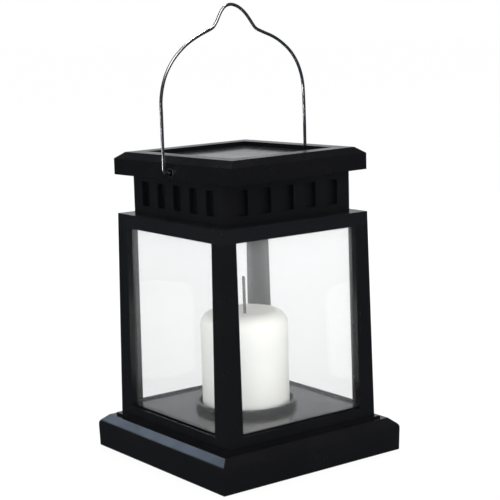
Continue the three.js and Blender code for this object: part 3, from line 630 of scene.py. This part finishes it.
make_bail()
make_candle()
make_wick()
make_bush("left", -1)
make_bush("right", 1)
for number in range(1, 5):
    make_foot(number)
    make_screw(f"base_screw_{number}", "root")
    make_screw(f"neck_screw_{number}", "root")
    make_screw(f"cap_screw_{number}", "cap")
make_screw("battery_door_screw", "root")


# ---------------------------------------------------------------------------
# Stage: floor, world, lights and camera
# ---------------------------------------------------------------------------

CAMERA_AZIMUTH = math.radians(-36.87)
CAMERA_ELEVATION = math.radians(9.34)
CAMERA_ROLL = math.radians(-1.56)
CAMERA_PLACE = Vector((-0.4403, -0.5936, 0.2286))
FOCAL = 102.8
SENSOR = 36.0
SHIFT = (0.0008, 0.0004)


def camera_axes():
    """The camera's right, up and back directions."""
    a, e = CAMERA_AZIMUTH, CAMERA_ELEVATION
    back = Vector((math.sin(a) * math.cos(e), -math.cos(a) * math.cos(e), math.sin(e)))
    right = Vector((0, 0, 1)).cross(back).normalized()
    up = back.cross(right)
    c, s = math.cos(CAMERA_ROLL), math.sin(CAMERA_ROLL)
    return c * right + s * up, c * up - s * right, back


def make_camera():
    data = bpy.data.cameras.new("camera")
    data.sensor_width = SENSOR
    data.lens = FOCAL
    data.shift_x, data.shift_y = SHIFT
    camera = bpy.data.objects.new("camera", data)
    bpy.context.scene.collection.objects.link(camera)
    right, up, back = camera_axes()
    turn = Matrix((right, up, back)).transposed()
    camera.matrix_world = Matrix.Translation(CAMERA_PLACE) @ turn.to_4x4()
    bpy.context.scene.camera = camera


FRONT = Vector((math.sin(CAMERA_AZIMUTH), -math.cos(CAMERA_AZIMUTH), 0.0))
WALL = 0.62                     # brightness of the wall behind, as the glossy faces see it
DARK = 0.045                    # brightness of the rest of the room, as the glossy faces see it
WALL_SIDES = (0.6, 0.88)        # cosine of the angle from straight behind: dark, then fully bright
WALL_TOP = (0.5, 0.34)          # rise of the reflected direction: dark, then fully bright
ROOM_LIGHT = 1.15               # brightness of the room that lights the matt faces
PAGE = 1.0                      # brightness of the plain background behind the lantern
WHITE = (1.0, 1.0, 1.0, 1.0)
COOL = (0.92, 0.96, 1.0, 1.0)


def make_world():
    """A white studio. Reflections only show a bright band of wall behind the lantern in a dark room."""
    world = bpy.data.worlds.new("studio")
    bpy.context.scene.world = world
    world.use_nodes = True
    sky = Nodes(world.node_tree)
    place = sky.add("ShaderNodeTexCoord").outputs["Generated"]
    towards = sky.add("ShaderNodeVectorMath", {0: place, 1: -FRONT}, operation="DOT_PRODUCT")
    behind = sky.add("ShaderNodeMapRange", {
        "Value": towards.outputs["Value"], "From Min": WALL_SIDES[0], "From Max": WALL_SIDES[1],
    }, interpolation_type="SMOOTHSTEP")
    height = sky.add("ShaderNodeSeparateXYZ", {"Vector": place}).outputs["Z"]
    band = sky.add("ShaderNodeMapRange", {
        "Value": height, "From Min": WALL_TOP[0], "From Max": WALL_TOP[1], "To Min": 0.0, "To Max": WALL,
    }, interpolation_type="SMOOTHSTEP")
    wall = sky.add("ShaderNodeMath", {
        0: behind.outputs["Result"], 1: band.outputs["Result"],
    }, operation="MULTIPLY")
    seen = sky.add("ShaderNodeMath", {0: wall.outputs[0], 1: DARK}, operation="ADD")
    light = sky.add("ShaderNodeBackground", {"Color": WHITE, "Strength": ROOM_LIGHT})
    mirror = sky.add("ShaderNodeBackground", {"Color": COOL, "Strength": seen.outputs[0]})
    page = sky.add("ShaderNodeBackground", {"Color": WHITE, "Strength": PAGE})
    ray = sky.add("ShaderNodeLightPath").outputs
    lit = sky.add("ShaderNodeMixShader", {
        "Fac": ray["Is Glossy Ray"], 1: light.outputs[0], 2: mirror.outputs[0],
    })
    mix = sky.add("ShaderNodeMixShader", {
        "Fac": ray["Is Camera Ray"], 1: lit.outputs[0], 2: page.outputs[0],
    })
    sky.add("ShaderNodeOutputWorld", {"Surface": mix.outputs[0]})


FLOOR_RADIUS = 12.0
FLOOR_TONE = (0.84, 0.84, 0.84, 1.0)    # colour of the paper that the floor is made of
FLOOR_GLOW = (0.72, 0.86, 1.0, 1.0)     # colour of the floor, as the glossy faces see it
FLOOR_DIM = 0.055                       # brightness of the floor, as the glossy faces see it
FLOOR_SHADE = 0.14                      # share of real light and shadow in the floor that the camera sees


def make_floor():
    """A pale round floor, kept dim in reflections as a floor beyond the lights is, and clear from below."""
    mesh = bpy.data.meshes.new("floor")
    shape = bmesh.new()
    bmesh.ops.create_circle(shape, cap_ends=True, segments=96, radius=FLOOR_RADIUS)
    shape.to_mesh(mesh)
    shape.free()
    floor = bpy.data.objects.new("floor", mesh)
    bpy.context.scene.collection.objects.link(floor)
    finish = Finish("pale_floor")
    paper = finish.add("ShaderNodeBsdfDiffuse", {"Color": FLOOR_TONE})
    dim = finish.add("ShaderNodeEmission", {"Color": FLOOR_GLOW, "Strength": FLOOR_DIM})
    page = finish.add("ShaderNodeEmission", {"Color": WHITE, "Strength": PAGE})
    ray = finish.add("ShaderNodeLightPath").outputs
    seen = finish.add("ShaderNodeMixShader", {
        "Fac": FLOOR_SHADE, 1: page.outputs[0], 2: paper.outputs[0],
    })
    own = finish.add("ShaderNodeMixShader", {
        "Fac": ray["Is Camera Ray"], 1: paper.outputs[0], 2: seen.outputs[0],
    })
    mix = finish.add("ShaderNodeMixShader", {
        "Fac": ray["Is Glossy Ray"], 1: own.outputs[0], 2: dim.outputs[0],
    })
    below = finish.add("ShaderNodeNewGeometry").outputs["Backfacing"]
    clear = finish.add("ShaderNodeBsdfTransparent")
    sheet = finish.add("ShaderNodeMixShader", {"Fac": below, 1: mix.outputs[0], 2: clear.outputs[0]})
    finish.join(sheet.outputs[0], finish.output.inputs["Surface"])
    mesh.materials.append(finish.material)


def soft_box(name, place, aim, size, power, colour=(1.0, 1.0, 1.0)):
    """An area lamp, hidden from the camera, that points at a height over the middle of the floor."""
    data = bpy.data.lights.new(name, "AREA")
    data.shape = "RECTANGLE"
    data.size, data.size_y = size
    data.energy = power
    data.color = colour
    lamp = bpy.data.objects.new(name, data)
    bpy.context.scene.collection.objects.link(lamp)
    lamp.location = place
    lamp.rotation_mode = "QUATERNION"
    lamp.rotation_quaternion = (Vector((0.0, 0.0, aim)) - Vector(place)).to_track_quat("-Z", "Y")
    lamp.visible_camera = False
    return lamp


def make_lights():
    """Three boxes that only show as reflections, one for everything, and two that only light matt faces."""
    shown = [
        soft_box("glint_box", (-0.23, 0.63, 0.465), 0.03, (0.22, 0.22), 0.36, (0.62, 0.78, 1.0)),
        soft_box("overhead_box", (0.12, 0.38, 1.3), 0.1, (0.26, 0.26), 12.0, (0.9, 0.95, 1.0)),
        soft_box("left_card", (-0.62, 0.07, 0.06), 0.08, (0.12, 0.08), 0.6),
    ]
    soft_box("top_box", (-0.35, -0.75, 1.2), 0.1, (0.9, 0.9), 10.0)
    matt = [
        soft_box("front_fill", (-0.62, -0.82, 0.12), 0.05, (0.5, 0.25), 2.8),
        soft_box("rear_fill", (0.55, 0.73, 0.42), 0.06, (0.5, 0.3), 5.0),
    ]
    for lamp in shown:
        lamp.visible_diffuse = False
    for lamp in matt:
        lamp.visible_glossy = False


make_camera()
make_world()
make_floor()
make_lights()
bpy.context.scene.view_settings.view_transform = "Standard"
